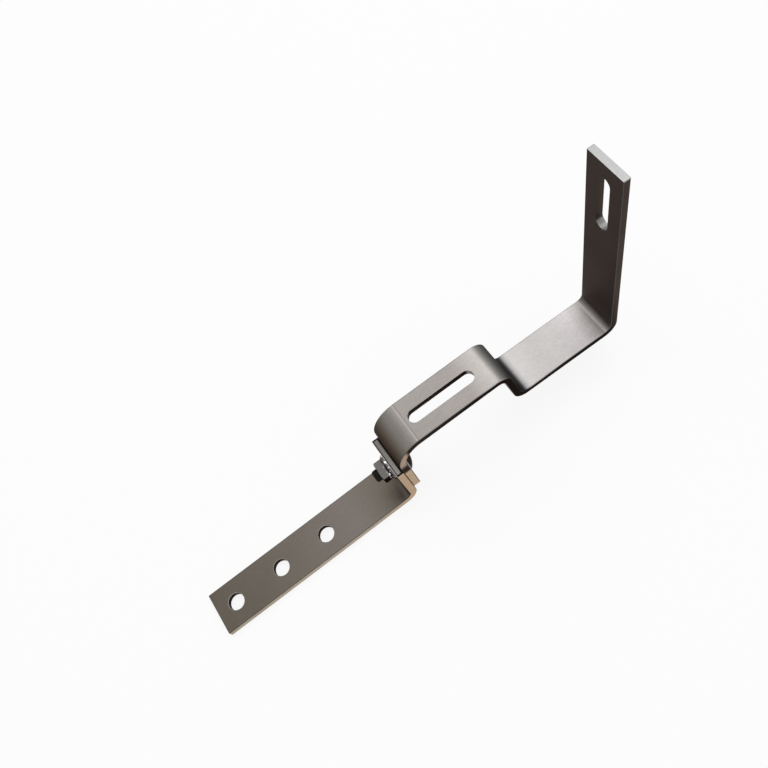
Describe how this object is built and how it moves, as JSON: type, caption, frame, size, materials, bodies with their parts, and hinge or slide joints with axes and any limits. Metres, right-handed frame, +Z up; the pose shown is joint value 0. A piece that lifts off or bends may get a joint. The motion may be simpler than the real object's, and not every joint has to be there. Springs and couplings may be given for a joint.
{
  "type": "adjustable solar roof hook bracket",
  "caption": "Folded flat-bar roof hook for a solar rail: a base plate with screw holes, a stepped hook arm with a slotted upright, and a bolted clamp joint that sets the height.",
  "frame": {"origin": "underside of the base plate, under the middle screw hole", "axes": "+X runs along the hook from the free end of the base towards the upright, +Y across the bar, +Z up off the roof"},
  "size_m": [0.3358, 0.03, 0.1782],
  "materials": {
    "base_steel": "satin stainless steel, warm grey",
    "arm_steel": "satin stainless steel with fine mottling",
    "bolt_steel": "bright rolled stainless steel",
    "nut_steel": "turned stainless steel"
  },
  "bodies": {
    "base": {"base_plate": "base_steel"},
    "hook": {"hook_arm": "arm_steel", "carriage_bolt": "bolt_steel", "flange_nut": "nut_steel"}
  },
  "joints": [
    {"name": "height_slide", "type": "slide", "parent": "base", "child": "hook", "axis": [0, 0, 1], "range_m": [-0.012, 0.004]}
  ]
}
